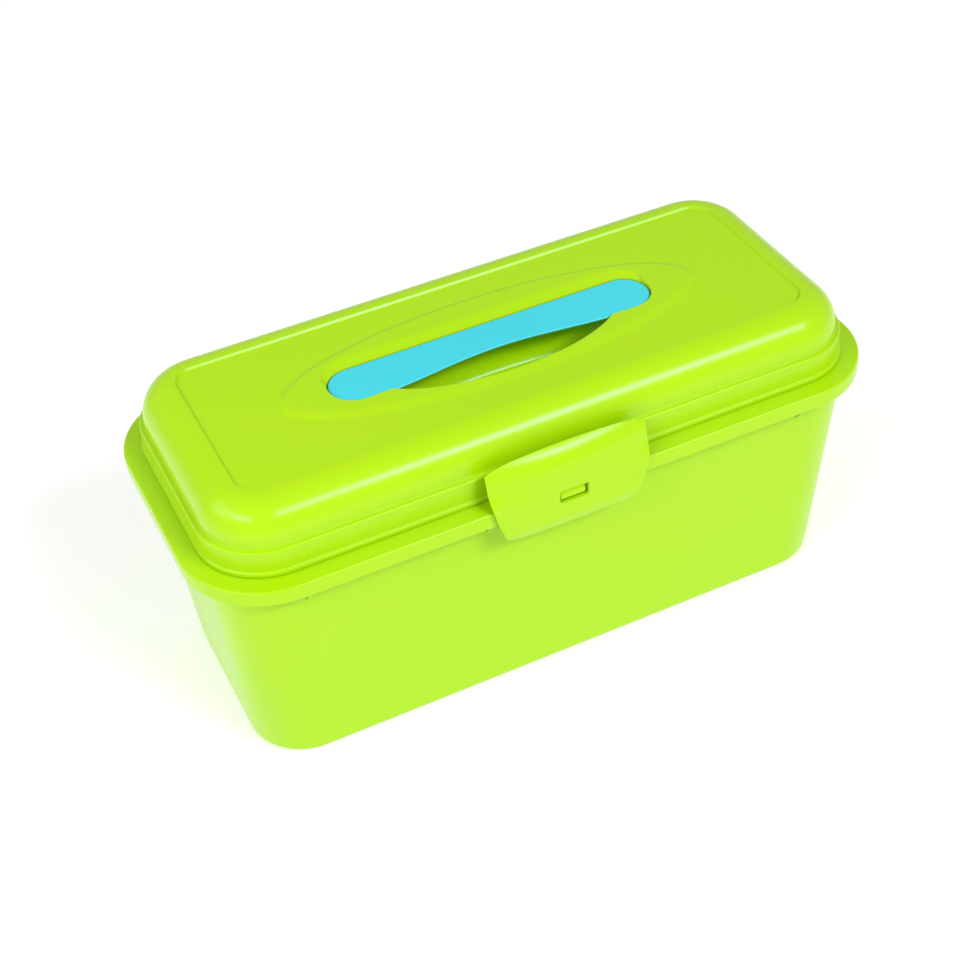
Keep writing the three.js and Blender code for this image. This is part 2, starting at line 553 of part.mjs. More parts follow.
function upperTray() {
  const bay = upperBay();
  const frontWall = -(bay.halfY - TRAY.draft - TRAY.skin);
  const wallX0 = bay.x0 + TRAY.draft + TRAY.skin / 2;
  const wallX1 = bay.x1 - TRAY.draft - TRAY.skin / 2;
  const longWall = block(wallX0, wallX1, TRAY_WALL_Y, TRAY_WALL_Y + TRAY.skin, bay.z0 + TRAY.skin / 2,
    bay.z0 + TRAY.height - 1);
  const middle = (bay.x0 + bay.x1) / 2;
  const pegs = Array.from({ length: PEG.count }, (_, i) => {
    const peg = new THREE.CylinderGeometry(PEG.tip, PEG.radius, PEG.height, 16).rotateX(Math.PI / 2);
    peg.translate(middle + PEG.pitch * (i - (PEG.count - 1) / 2), PEG.y,
      bay.z0 + TRAY.skin / 2 + PEG.height / 2);
    return solid(peg);
  });
  const xs = [-1, 0, 1].map((step) => middle + step * (TRAY.length / 4));
  const ribs = xs.flatMap((x) => [...slotRibs(x, frontWall - 0.5, 1, bay.z0),
    ...slotRibs(x, TRAY_WALL_Y + 0.5, -1, bay.z0)]);
  const tray = named('upper_tray', join([trayShell(bay), longWall, ...pegs, ...ribs]), CYAN);
  const dividers = xs.map((x, i) => named(`upper_tray_divider_${i + 1}`,
    dividerPlate(x, frontWall + 0.4, TRAY_WALL_Y - 0.4, bay.z0), FROST));
  return [tray, ...dividers];
}

function lowerTray() {
  const bay = lowerBay();
  const wall = bay.halfY - TRAY.draft - TRAY.skin;
  const xs = [1, 2].map((step) => bay.x0 + (step * TRAY.length) / 3);
  const ribs = xs.flatMap((x) => bothSides((side) => slotRibs(x, side * (wall + 0.5), -side, bay.z0)).flat());
  const tray = named('lower_tray', join([trayShell(bay), ...ribs]), CYAN);
  const dividers = xs.map((x, i) => named(`lower_tray_divider_${i + 1}`,
    dividerPlate(x, -wall + 0.4, wall - 0.4, bay.z0), FROST));
  return [tray, ...dividers];
}

// ---- Assembly ----

const box = new THREE.Group();
box.add(baseTub(), ...baseDividers(), ...lowerTray(), ...upperTray());
box.add(lidShell(), handleStrap(), latch(), ...pins());

export default box;
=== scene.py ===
import math

import bmesh
import bpy
from mathutils import Matrix, Vector


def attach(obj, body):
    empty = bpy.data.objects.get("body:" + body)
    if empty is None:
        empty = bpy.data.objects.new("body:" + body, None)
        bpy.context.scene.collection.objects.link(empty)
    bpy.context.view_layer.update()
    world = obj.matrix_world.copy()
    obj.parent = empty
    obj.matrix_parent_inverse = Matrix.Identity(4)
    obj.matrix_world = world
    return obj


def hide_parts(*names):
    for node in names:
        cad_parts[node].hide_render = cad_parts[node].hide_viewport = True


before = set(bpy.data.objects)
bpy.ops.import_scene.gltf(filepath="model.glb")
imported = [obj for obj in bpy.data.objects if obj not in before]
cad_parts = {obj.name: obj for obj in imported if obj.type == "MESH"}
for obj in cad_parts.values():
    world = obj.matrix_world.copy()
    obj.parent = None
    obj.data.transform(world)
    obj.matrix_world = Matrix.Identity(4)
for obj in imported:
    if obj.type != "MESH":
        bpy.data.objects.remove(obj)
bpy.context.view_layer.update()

# Looks of a sewing box with two sliding trays. Shapes are worked out in millimetres in the CAD
# frame, +Z up with the latch towards -Y, and are turned into metres where a mesh is made.
# "Offset" is the distance that an outline stands outside the outline of the lid's dome.

MM = 0.001
CORNER_STEPS = 20
SIDE_STEPS_X = 18
SIDE_STEPS_Y = 8
OVAL_STEPS = 144
ROD_STEPS = 40
PEG_STEPS = 32
SLOPE_STEPS = 14
MESH_WELD, SMOOTH_WELD, SLIVER = 1e-7, 2e-6, 1e-6

DOME_X, DOME_Y, DOME_CORNER = 150.0, 62.3, 27.5
DOME_TOP, DOME_ROUND = 147.7, 15.5
PANEL_Z = 146.7
PAD_X, PAD_Y, PAD_CENTRE_Y, PAD_TOP = 101.0, 32.8, -1.0, 147.6
PAD_END_RUN, PAD_FRONT_RUN, PAD_BACK_RUN, TROUGH_RUN = 5.0, 8.5, 3.1, 7.0
TUB_OFFSET, TUB_DRAFT, TUB_HEIGHT, TUB_SKIN, TUB_CORNER = 3.2, 7.8, 108.7, 2.2, 26.5
RIM_OFFSET, RIM_TOP, RIM_BOTTOM = 11.6, 116.7, 109.0
TONGUE_OUTER, TONGUE_INNER, TONGUE_TOP, JOG = -0.1, -1.7, 121.0, 111.5
GUSSETS_X, GUSSET_HALF = (-118, -36, 36, 118), 1.1
GUSSET_LOW, GUSSET_KNEE, GUSSET_LIP, GUSSET_HIGH = 98.6, 109.2, 109.9, 115.4
CATCH_LOW, CATCH_HIGH, CATCH_PROUD = 112.2, 116.2, 1.9
SKIRT_OFFSET, BEAD_OFFSET, SKIRT_BOTTOM, SKIRT_TOP = 2.3, 3.3, 116.85, 129.6
STRAP_X, STRAP_R, STRAP_Y, STRAP_TOP, STRAP_THICK = 77.1, 12.0, -0.6, 146.2, 2.6
STRAP_WAIST, STRAP_SPAN, STRAP_GAP, STRAP_TAPER = 5.8, 64.0, 0.5, 2.0
POCKET_FLOOR = STRAP_TOP - STRAP_THICK - 0.3
LEG_X, LEG_BOTTOM, LEG_HALF_X, LEG_HALF_Y, BARB_HALF_Y, SPLIT_HALF = 66.0, 123.5, 5, 3, 4.6, 0.8
WELL_X, WELL_FRONT, WELL_BACK, WELL_FLOOR, WELL_EDGE = 60.0, 26.4, 9.0, 123.0, 0.5
WELL_RUN, WELL_END_SHARE, WELL_BACK_SHARE, BOWL_SKIN = 15, 1.7, 0.45, 2.0
LATCH_X, LATCH_HALF, LATCH_LOW_HALF, LATCH_FACE, LATCH_SKIN = -1.0, 37.5, 29.6, -76.4, 1.7
LATCH_BOTTOM, CURL_Z, CURL_RADIUS, CURL_ANGLE, CURL_LOSS = 96.4, 126.1, 15.0, 56.0, 19.0
LOW_CROWN, HIGH_CROWN, CROWN_FROM, CROWN_TO = 0.6, 4.5, 117.0, 128.0
LATCH_SAG, LATCH_LOW_ROUND, LATCH_HIGH_ROUND = 2.2, 2.6, 1.5
HOOK_Z, HOOK_DEPTH = 104.0, 3.2
LATCH_PIN_Y, LATCH_PIN_Z, LATCH_BORE, LATCH_WIRE, LATCH_WIRE_HALF = -70.2, 131.0, 1.2, 1.0, 22.6
BARREL, BARREL_HALF, EAR_X, EAR_R, EAR_HALF = 2.6, 17.6, 20.0, 2.2, 2
SLOT_X, SLOT_HALF, SLOT_LOW, SLOT_HIGH = -0.9, 6.8, 111.2, 117.6
HINGE_X, HINGE_Y, HINGE_Z, KNUCKLE, HINGE_R = 95.0, 79.6, 117.3, 20.0, 3.2
HINGE_GAP, HINGE_BORE, HINGE_WIRE, WIRE_PROUD = 0.4, 1.35, 1.2, 0.6
RAIL_X, UPPER_RAIL, UPPER_REACH, LOWER_RAIL, LOWER_REACH = 118.0, 88.0, 57.0, 60.0, 53.0
RAIL_DEPTH, RAIL_GAP, SLOT_RIB_Y = 9.0, 0.4, 49.5
TRAY_LENGTH, TRAY_HEIGHT = 145, 24.4
TRAY_SKIN, TRAY_DRAFT, TRAY_CORNER, TRAY_GAP = 1.6, 1.2, 23.5, 1.5
LONG_WALL_Y = 16.0
RIB_HALF, RIB_DEPTH, TRAY_RIB_GAP, BASE_RIB_GAP = 0.6, 2.5, 1.7, 1.9
TRAY_PLATE_THICK, SCOOP_HALF, SCOOP = 1.6, 11.0, 3.0
BASE_PLATE_X, BASE_PLATE_Y, BASE_PLATE_LOW, BASE_PLATE_HIGH, BASE_PLATE_THICK = 48, 52.5, 2.5, 57.5, 2.0
PEG_Y, PEG_PITCH, PEG_COUNT, PEG_HEIGHT = 38.0, 32.0, 4, 18.0
PEG_FOOT, PEG_LOW, PEG_HIGH, PEG_TIP = 5.5, 3.1, 2.5, 0.6

# The plastic's texture scales are per metre and the bumps' depths are in metres.
PLASTIC_IOR, PLASTIC_SPECULAR = 1.52, 0.27
FLOW_SCALE, GLOSS_SCALE, PEEL_SCALE, PEEL_DEPTH = 9, 45, 420, 0.00004
WIRE_SCALE, WIRE_DEPTH = (30, 2500, 2500), 0.00002

FLOOR_SIZE, FLOOR_Z, FLOOR_GREY, FLOOR_GLOW = 12, -0.0002, 0.8, 0.3
SKY_STRENGTH = 0.48
LIGHT_AIM = (0, 0, 0.1)
CAMERA_PLACE, CAMERA_LENS, CAMERA_SENSOR = (-252.85, -574.25, 603.23), 66.45, 36
CAMERA_FORWARD, CAMERA_UP = (0.29457, 0.69951, -0.65109), (0.32502, 0.56737, 0.75661)


# ---- Paths and outlines ----

def filleted(corners, steps=6):
    """Rounds each (a, z, radius) corner of a path with an arc. Its two ends stay as they are."""
    path = [Vector(corners[0][:2])]
    for before, (a, z, radius), after in zip(corners, corners[1:], corners[2:]):
        here = Vector((a, z))
        back, ahead = Vector(before[:2]) - here, Vector(after[:2]) - here
        half = back.angle(ahead) / 2
        if radius == 0 or half > math.radians(89.5):
            path.append(here)
            continue
        reach = min(radius / math.tan(half), 0.48 * back.length, 0.48 * ahead.length)
        bisector = (back.normalized() + ahead.normalized()).normalized()
        centre = here + bisector * (reach / math.cos(half))
        start = here + back.normalized() * reach - centre
        turn = math.pi - 2 * half
        if start.angle_signed(here + ahead.normalized() * reach - centre) > 0:
            turn = -turn
        for step in range(steps + 1):
            angle = turn * step / steps
            cos, sin = math.cos(angle), math.sin(angle)
            path.append(centre + Vector((start.x * cos - start.y * sin, start.x * sin + start.y * cos)))
    path.append(Vector(corners[-1][:2]))
    return path


def arc(a, z, radius, start, sweep, steps):
    """Points round (a, z), from a start angle through a sweep, both in degrees."""
    turns = [math.radians(start + sweep * step / steps) for step in range(steps + 1)]
    return [(a + radius * math.cos(turn), z + radius * math.sin(turn)) for turn in turns]


def rectangle_ring(x0, x1, y0, y1, corner, z):
    """A rounded rectangle, counter-clockwise from above, with points along its straight sides."""
    ring = []
    corners = [(x1 - corner, y1 - corner), (x0 + corner, y1 - corner),
               (x0 + corner, y0 + corner), (x1 - corner, y0 + corner)]
    for side, (cx, cy) in enumerate(corners):
        angles = [math.radians(90 * (side + step / CORNER_STEPS)) for step in range(CORNER_STEPS + 1)]
        bend = [Vector((cx + corner * math.cos(a), cy + corner * math.sin(a), z)) for a in angles]
        nx, ny = corners[(side + 1) % 4]
        turn = math.radians(90 * (side + 1))
        goal = Vector((nx + corner * math.cos(turn), ny + corner * math.sin(turn), z))
        count = SIDE_STEPS_X if side % 2 == 0 else SIDE_STEPS_Y
        ring += bend + [bend[-1].lerp(goal, step / count) for step in range(1, count)]
    return ring


def outline_ring(offset, z, corner=None):
    """The dome's outline moved out by an offset, with its corners moved out too unless one is given."""
    radius = DOME_CORNER + offset if corner is None else corner
    x, y = DOME_X + offset, DOME_Y + offset
    return rectangle_ring(-x, x, -y, y, radius, z)


def oval_ring(half_x, front, back, centre_y, z):
    """An oval that reaches a different distance to the front and to the back."""
    ring = []
    for step in range(OVAL_STEPS):
        angle = 2 * math.pi * step / OVAL_STEPS
        reach = front if math.sin(angle) < 0 else back
        ring.append(Vector((half_x * math.cos(angle), centre_y + reach * math.sin(angle), z)))
    return ring


def strap_ring(grow, z, shift_y=0.0, steps=24):
    """The strap's outline: round ends, a straight back edge and a front edge drawn in at the middle."""
    radius, end_x = STRAP_R + grow, STRAP_X - STRAP_R
    right = []
    for step in range(2 * steps + 1):
        angle = math.radians(-90 + 90 * step / steps)
        right.append(Vector((end_x + radius * math.cos(angle), STRAP_Y + radius * math.sin(angle), z)))
    back = [Vector((end_x * (1 - 2 * k / steps), STRAP_Y + radius, z)) for k in range(1, steps)]
    left = [Vector((-p.x, p.y, z)) for p in reversed(right)]
    front = []
    for step in range(1, 3 * steps):
        x = end_x * (2 * step / (3 * steps) - 1)
        drawn_in = STRAP_WAIST * math.cos(math.pi * x / (2 * STRAP_SPAN)) ** 2
        front.append(Vector((x, STRAP_Y - radius + drawn_in, z)))
    return [p + Vector((0, shift_y, 0)) for p in right + back + left + front]


# ---- Meshes ----

def new_object(name, mesh):
    piece = bpy.data.objects.new(name, mesh)
    bpy.context.scene.collection.objects.link(piece)
    return piece


def finished_mesh(name, bm):
    bmesh.ops.remove_doubles(bm, verts=bm.verts, dist=MESH_WELD)
    bmesh.ops.recalc_face_normals(bm, faces=bm.faces)
    mesh = bpy.data.meshes.new(name)
    bm.to_mesh(mesh)
    bm.free()
    return new_object(name, mesh)


def loft(name, rings):
    """A closed solid through rings of equal length, with a flat face over the first and the last."""
    bm = bmesh.new()
    made = [[bm.verts.new(p * MM) for p in ring] for ring in rings]
    for low, high in zip(made, made[1:]):
        for i, corner in enumerate(low):
            following = (i + 1) % len(low)
            bm.faces.new((corner, low[following], high[following], high[i]))
    bm.faces.new(list(reversed(made[0])))
    bm.faces.new(made[-1])
    return finished_mesh(name, bm)


def rounded_block(name, x0, x1, y0, y1, z0, z1, edge=0.0, segments=3):
    bm = bmesh.new()
    bmesh.ops.create_cube(bm, size=1.0)
    for vertex in bm.verts:
        vertex.co = Vector((x0 if vertex.co.x < 0 else x1, y0 if vertex.co.y < 0 else y1,
                            z0 if vertex.co.z < 0 else z1)) * MM
    if edge:
        bmesh.ops.bevel(bm, geom=bm.edges[:], offset=edge * MM, segments=segments, profile=0.5,
                        affect="EDGES", clamp_overlap=True)
    return finished_mesh(name, bm)


def prism(name, outline, axis, low, high, edge=0.0, segments=3):
    """Extrudes an outline along an axis. Along X its points are (y, z), and along Y they are (x, z)."""
    def place(a, b, along):
        return Vector((along, a, b)) if axis == "X" else Vector((a, along, b))

    bm = bmesh.new()
    ends = [[bm.verts.new(place(a, b, along) * MM) for a, b in outline] for along in (low, high)]
    for i in range(len(outline)):
        k = (i + 1) % len(outline)
        bm.faces.new((ends[0][i], ends[0][k], ends[1][k], ends[1][i]))
    caps = [bm.faces.new(ends[0]), bm.faces.new(ends[1])]
    if edge:
        rims = list({e for cap in caps for e in cap.edges})
        bmesh.ops.bevel(bm, geom=rims, offset=edge * MM, segments=segments, profile=0.5,
                        affect="EDGES", clamp_overlap=True)
    return finished_mesh(name, bm)


def rod(name, radius, x0, x1, y, z, chamfer=0.0):
    """A rod along X with an optional chamfer at both ends."""
    profile = [(radius, x0), (radius, x1)]
    if chamfer:
        profile = [(radius - chamfer, x0), (radius, x0 + chamfer),
                   (radius, x1 - chamfer), (radius - chamfer, x1)]
    turns = [2 * math.pi * k / ROD_STEPS for k in range(ROD_STEPS)]
    return loft(name, [[Vector((x, y + r * math.cos(a), z + r * math.sin(a))) for a in turns]
                       for r, x in profile])


def combine(target, others, operation):
    """Adds the others to the target, or takes them away from it, and removes them."""
    for other in others:
        step = target.modifiers.new("combine", "BOOLEAN")
        step.object, step.operation, step.solver = other, operation, "EXACT"
        step.use_self = False
        bpy.context.view_layer.update()
        graph = bpy.context.evaluated_depsgraph_get()
        mesh = bpy.data.meshes.new_from_object(target.evaluated_get(graph))
        target.modifiers.clear()
        target.data = mesh
        bpy.data.objects.remove(other)
    return target


def add(target, *others):
    return combine(target, others, "UNION")


def cut(target, *others):
    return combine(target, others, "DIFFERENCE")


def smooth(piece, angle=32.0):
    """Shades the rounded stretches smoothly and keeps the flats flat and the corners crisp."""
    bm = bmesh.new()
    bm.from_mesh(piece.data)
    bmesh.ops.remove_doubles(bm, verts=bm.verts, dist=SMOOTH_WELD)
    bmesh.ops.dissolve_degenerate(bm, edges=bm.edges, dist=SLIVER)
    bm.to_mesh(piece.data)
    bm.free()
    piece.data.polygons.foreach_set("use_smooth", [True] * len(piece.data.polygons))
    piece.data.set_sharp_from_angle(angle=math.radians(angle))
    weigh = piece.modifiers.new("even_shading", "WEIGHTED_NORMAL")
    weigh.mode, weigh.keep_sharp, weigh.weight = "FACE_AREA", True, 50
    return piece


def both(make):
    """Makes a thing for the -1 end or side and again for the +1 one."""
    return [make(-1), make(1)]


def mirrored(outline, side):
    """A (y, z) outline drawn for the front, turned over for the back when side is +1."""
    return outline if side < 0 else [(-y, z) for y, z in outline]


# ---- Base tub ----

def tub_offset(z):
    return TUB_OFFSET - TUB_DRAFT * (1 - min(z, TUB_HEIGHT) / TUB_HEIGHT)


def tub_inner_y(z):
    return DOME_Y + tub_offset(z) - TUB_SKIN


def tub_inner_x(z):
    return DOME_X + tub_offset(z) - TUB_SKIN


def tub_corner(offset, z):
    """A corner radius of the tub: tighter on the walls than out at the rim or up on the tongue."""
    wall = TUB_CORNER + offset - tub_offset(z)
    out = (offset - TUB_OFFSET) / 2
    up = (z - JOG) / 3
    share = min(max(out, up, 0), 1)
    return wall + (DOME_CORNER + offset - wall) * share


def tub_shell():
    """One closed skin: up the inside, over the tongue, round the rim's channel and down the outside."""
    lip = RIM_OFFSET - TUB_SKIN
    path = filleted([
        (tub_offset(0) - TUB_SKIN - 8, TUB_SKIN, 0), (tub_offset(TUB_SKIN) - TUB_SKIN, TUB_SKIN, 3.2),
        (TUB_OFFSET - TUB_SKIN, TUB_HEIGHT, 0), (TUB_OFFSET - TUB_SKIN, JOG, 0.8),
        (TONGUE_INNER, JOG + 3, 0.8), (TONGUE_INNER, TONGUE_TOP, 0.6), (TONGUE_OUTER, TONGUE_TOP, 0.6),
        (TONGUE_OUTER, RIM_TOP, 0.4), (RIM_OFFSET, RIM_TOP, 1.1), (RIM_OFFSET, RIM_BOTTOM, 0.8),
        (lip, RIM_BOTTOM, 0.6), (lip, RIM_TOP - TUB_SKIN, 1.0), (TUB_OFFSET, RIM_TOP - TUB_SKIN, 1.0),
        (TUB_OFFSET, TUB_HEIGHT, 0), (tub_offset(0), 0, 5.0), (tub_offset(0) - 9, 0, 0)], steps=7)
    return loft("tub", [outline_ring(offset, z, tub_corner(offset, z)) for offset, z in path])


def rail(top, reach, side):
    root = top - RAIL_DEPTH
    outline = filleted([
        (-tub_inner_y(top) - 1, top, 0), (-reach, top, 0.6), (-reach, top - 2, 0.8),
        (-tub_inner_y(root) + 0.3, root, 1.0), (-tub_inner_y(root) - 1, root, 0)])
    return prism("rail", mirrored([tuple(p) for p in outline], side), "X", -RAIL_X, RAIL_X, edge=0.5)


def slot_rib(x, side):
    """A rib that holds a divider in the bottom of the tub, sunk a little into the wall and floor."""
    top, foot, cut_off = LOWER_RAIL - 6, 1.2, 1.5
    outline = [(-SLOT_RIB_Y, foot), (-SLOT_RIB_Y, top - cut_off), (-SLOT_RIB_Y - cut_off, top),
               (-tub_inner_y(top) - 0.6, top), (-tub_inner_y(2) - 0.4, foot)]
    return prism("rib", mirrored(outline, side), "X", x - RIB_HALF, x + RIB_HALF, edge=0.25)


def gusset(x, side):
    root = -(DOME_Y + tub_offset(99))
    lip = -(DOME_Y + RIM_OFFSET - TUB_SKIN / 2)
    outline = [(root + 0.8, GUSSET_LOW), (root, GUSSET_LOW), (lip + 1, GUSSET_KNEE), (lip, GUSSET_LIP),
               (lip, GUSSET_HIGH), (root + 0.8, GUSSET_HIGH)]
    return prism("gusset", mirrored(outline, side), "X", x - GUSSET_HALF, x + GUSSET_HALF, edge=0.3)


def hinge_ear(end, side):
    x = end * HINGE_X + side * (KNUCKLE / 2 + HINGE_GAP + EAR_HALF)
    rim, top = DOME_Y + RIM_OFFSET - 1, RIM_TOP - 0.2
    head = arc(HINGE_Y, HINGE_Z, HINGE_R, -60, 210, 28)
    outline = [(rim, RIM_BOTTOM + 0.8), (HINGE_Y - 1, RIM_BOTTOM + 2.6), *head, (HINGE_Y - 3.6, top),
               (rim, top)]
    return prism("ear", outline, "X", x - EAR_HALF, x + EAR_HALF, edge=0.35)


def catch():
    """The nose on the rim behind the latch's slot, a little narrower than the slot."""
    rim = -(DOME_Y + RIM_OFFSET)
    face = rim - CATCH_PROUD
    outline = [(rim + 1, CATCH_HIGH), (rim - 0.8, CATCH_HIGH), (face, 114.4), (face, 113.0),
               (rim - 1.0, CATCH_LOW), (rim + 1, CATCH_LOW)]
    return prism("catch", outline, "X", SLOT_X - SLOT_HALF + 0.6, SLOT_X + SLOT_HALF - 1.2, edge=0.3)


def hinge_bores():
    return both(lambda end: rod("bore", HINGE_BORE, end * HINGE_X - KNUCKLE, end * HINGE_X + KNUCKLE,
                                HINGE_Y, HINGE_Z))


def build_tub():
    tub = tub_shell()
    for top, reach in ((UPPER_RAIL, UPPER_REACH), (LOWER_RAIL, LOWER_REACH)):
        add(tub, *both(lambda side: rail(top, reach, side)))
    for plate_x in (-BASE_PLATE_X, BASE_PLATE_X):
        for face in (-1, 1):
            add(tub, *both(lambda side: slot_rib(plate_x + face * BASE_RIB_GAP, side)))
    for x in GUSSETS_X:
        add(tub, *both(lambda side: gusset(x, side)))
    for end in (-1, 1):
        add(tub, *both(lambda side: hinge_ear(end, side)))
    add(tub, catch())
    cut(tub, *hinge_bores())
    return smooth(tub)


# ---- Lid ----

def lid_skin():
    """One closed skin: from the ceiling down the inside, round the skirt's edge and up the outside."""
    ceiling = arc(-DOME_ROUND, DOME_TOP - DOME_ROUND - 1, DOME_ROUND - 2, 0, 90, 14)
    wall = filleted([
        (-2, 131.2, 0), (-1.9, 129.9, 1.5), (0.4, 127.4, 1.5), (0.4, SKIRT_BOTTOM, 0.5),
        (2.9, SKIRT_BOTTOM, 0.4), (BEAD_OFFSET, SKIRT_BOTTOM + 0.5, 0.4), (BEAD_OFFSET, 119.0, 0.55),
        (SKIRT_OFFSET, 119.5, 0.4), (SKIRT_OFFSET, SKIRT_TOP, 0.75), (0.35, 129.7, 0.35),
        (0, 131.0, 0.6), (0, 132.2, 0)], steps=7)
    dome = arc(-DOME_ROUND, DOME_TOP - DOME_ROUND, DOME_ROUND, 0, 90, 20)
    step = filleted([(-DOME_ROUND, DOME_TOP, 0), (-16.7, DOME_TOP, 0.35), (-17.5, PANEL_Z, 0.45),
                     (-21, PANEL_Z, 0)], steps=5)
    rings = [outline_ring(offset, z) for offset, z in [*reversed(ceiling), *wall[1:], *dome[1:]]]
    for offset, z in step[1:]:
        corner = DOME_CORNER - DOME_ROUND + (offset + DOME_ROUND) * 2
        rings.append(outline_ring(offset, z, max(corner, 3.5)))
    return loft("lid", rings)


def eased(count):
    """Even steps of a smooth slope, as (share of its run, share of its rise)."""
    return [(k / count, (k / count) ** 2 * (3 - 2 * k / count)) for k in range(count + 1)]


def raised_pad():
    """The low oval rise around the strap: a wide slope in front and a narrow one behind."""
    rings = [oval_ring(PAD_X, PAD_Y, PAD_Y, PAD_CENTRE_Y, PANEL_Z - 1.3)]
    for run, rise in eased(SLOPE_STEPS):
        rings.append(oval_ring(PAD_X - PAD_END_RUN * run, PAD_Y - PAD_FRONT_RUN * run,
                               PAD_Y - PAD_BACK_RUN * run, PAD_CENTRE_Y,
                               PANEL_Z + (PAD_TOP - PANEL_Z) * rise))
    return loft("pad", rings)


def strap_trough():
    """Behind the strap the pad slopes down to the strap's top."""
    rings = [strap_ring(STRAP_GAP, STRAP_TOP + (PAD_TOP - STRAP_TOP) * rise, TROUGH_RUN * run)
             for run, rise in eased(SLOPE_STEPS)]
    return loft("strap_trough", [*rings, strap_ring(STRAP_GAP, DOME_TOP + 1, TROUGH_RUN)])


def strap_pocket_cutter():
    """The strap's pocket, with its upper edge rounded."""
    edge = 0.35
    turns = [math.radians(18 * k) for k in range(6)]
    flare = [(STRAP_GAP + edge * (1 - math.cos(a)), PAD_TOP - edge + edge * math.sin(a)) for a in turns]
    heights = [(STRAP_GAP, POCKET_FLOOR), *flare, (STRAP_GAP + edge, DOME_TOP + 1)]
    return loft("strap_pocket", [strap_ring(grow, z) for grow, z in heights])


def well_rings(grow, top):
    """The finger well's rings up to its rounded rim, or the bowl's rings when it is grown by its skin."""
    edge = 0 if grow else WELL_EDGE
    rim = top if grow else PAD_TOP - edge
    depth = rim - (WELL_FLOOR - grow)
    turns = [math.radians(3.75 * k) for k in range(25)]
    path = [(WELL_RUN * (1 - math.sin(a)), rim - depth * math.cos(a)) for a in turns]
    if edge:
        turns = [math.radians(18 * k) for k in range(1, 6)]
        path += [(-edge * (1 - math.cos(a)), rim + edge * math.sin(a)) for a in turns]
        path.append((-edge, top))
    return [oval_ring(WELL_X - WELL_END_SHARE * inset + grow, WELL_FRONT - inset + grow,
                      WELL_BACK - WELL_BACK_SHARE * inset + grow, 0, z) for inset, z in path]


def leg_block(name, end, grow, z0, z1, edge=0.0):
    return rounded_block(name, end * LEG_X - LEG_HALF_X - grow, end * LEG_X + LEG_HALF_X + grow,
                         STRAP_Y - LEG_HALF_Y - grow, STRAP_Y + LEG_HALF_Y + grow, z0, z1, edge)


def latch_ear(end):
    skirt = -(DOME_Y + SKIRT_OFFSET)
    sunk, foot, top = skirt + 1.2, 121.5, 129.1
    head = arc(LATCH_PIN_Y, LATCH_PIN_Z, EAR_R, 60, 170, 24)
    outline = [(sunk, foot), (sunk, top), (skirt, top), *head, (skirt - 2, foot)]
    x = LATCH_X + end * EAR_X
    return prism("ear", outline, "X", x - EAR_HALF, x + EAR_HALF, edge=0.3)


def lid_knuckle(end):
    skirt, foot = DOME_Y + SKIRT_OFFSET - 0.8, 118.6
    head = arc(HINGE_Y, HINGE_Z, HINGE_R, -200, 260, 32)
    outline = [(skirt, foot), (HINGE_Y - 3.4, foot), *head, (HINGE_Y - 0.6, HINGE_Z + 4.6),
               (skirt, 124.6)]
    return prism("knuckle", outline, "X", end * HINGE_X - KNUCKLE / 2, end * HINGE_X + KNUCKLE / 2,
                 edge=0.35)


def build_lid():
    lid = lid_skin()
    under, boss_grow = PANEL_Z - 1.6, 2.2
    add(lid, loft("boss", [strap_ring(boss_grow, POCKET_FLOOR - 1.6), strap_ring(boss_grow, under)]),
        loft("bowl", well_rings(BOWL_SKIN, under)), raised_pad())
    add(lid, *both(latch_ear), *both(lid_knuckle))
    cut(lid, strap_pocket_cutter(), strap_trough(), loft("well", well_rings(0, DOME_TOP + 1)),
        *both(lambda end: leg_block("leg_hole", end, 0.4, POCKET_FLOOR - 5, POCKET_FLOOR + 1)),
        rod("bore", LATCH_BORE, LATCH_X - 24, LATCH_X + 24, LATCH_PIN_Y, LATCH_PIN_Z), *hinge_bores())
    return smooth(lid)


def build_strap():
    under = STRAP_TOP - STRAP_THICK
    edge = 0.6
    turns = [math.radians(15 * k) for k in range(-1, 7)]
    rounding = [(edge * (math.cos(a) - 1), STRAP_TOP - edge + edge * math.sin(a)) for a in turns]
    heights = [(-STRAP_TAPER, under), *rounding]
    strap = loft("strap", [strap_ring(grow, z) for grow, z in heights])
    add(strap, *both(lambda end: leg_block("leg", end, 0, LEG_BOTTOM, under + 1, 0.4)))
    add(strap, *both(lambda end: rounded_block(
        "barb", end * LEG_X - LEG_HALF_X, end * LEG_X + LEG_HALF_X, STRAP_Y - BARB_HALF_Y,
        STRAP_Y + BARB_HALF_Y, LEG_BOTTOM, LEG_BOTTOM + 2.5, 0.6)))
    cut(strap, *both(lambda end: rounded_block(
        "split", end * LEG_X - 9, end * LEG_X + 9, STRAP_Y - SPLIT_HALF,
        STRAP_Y + SPLIT_HALF, LEG_BOTTOM - 2, under - 4, 0.5)))
    return smooth(strap)


# ---- Latch ----

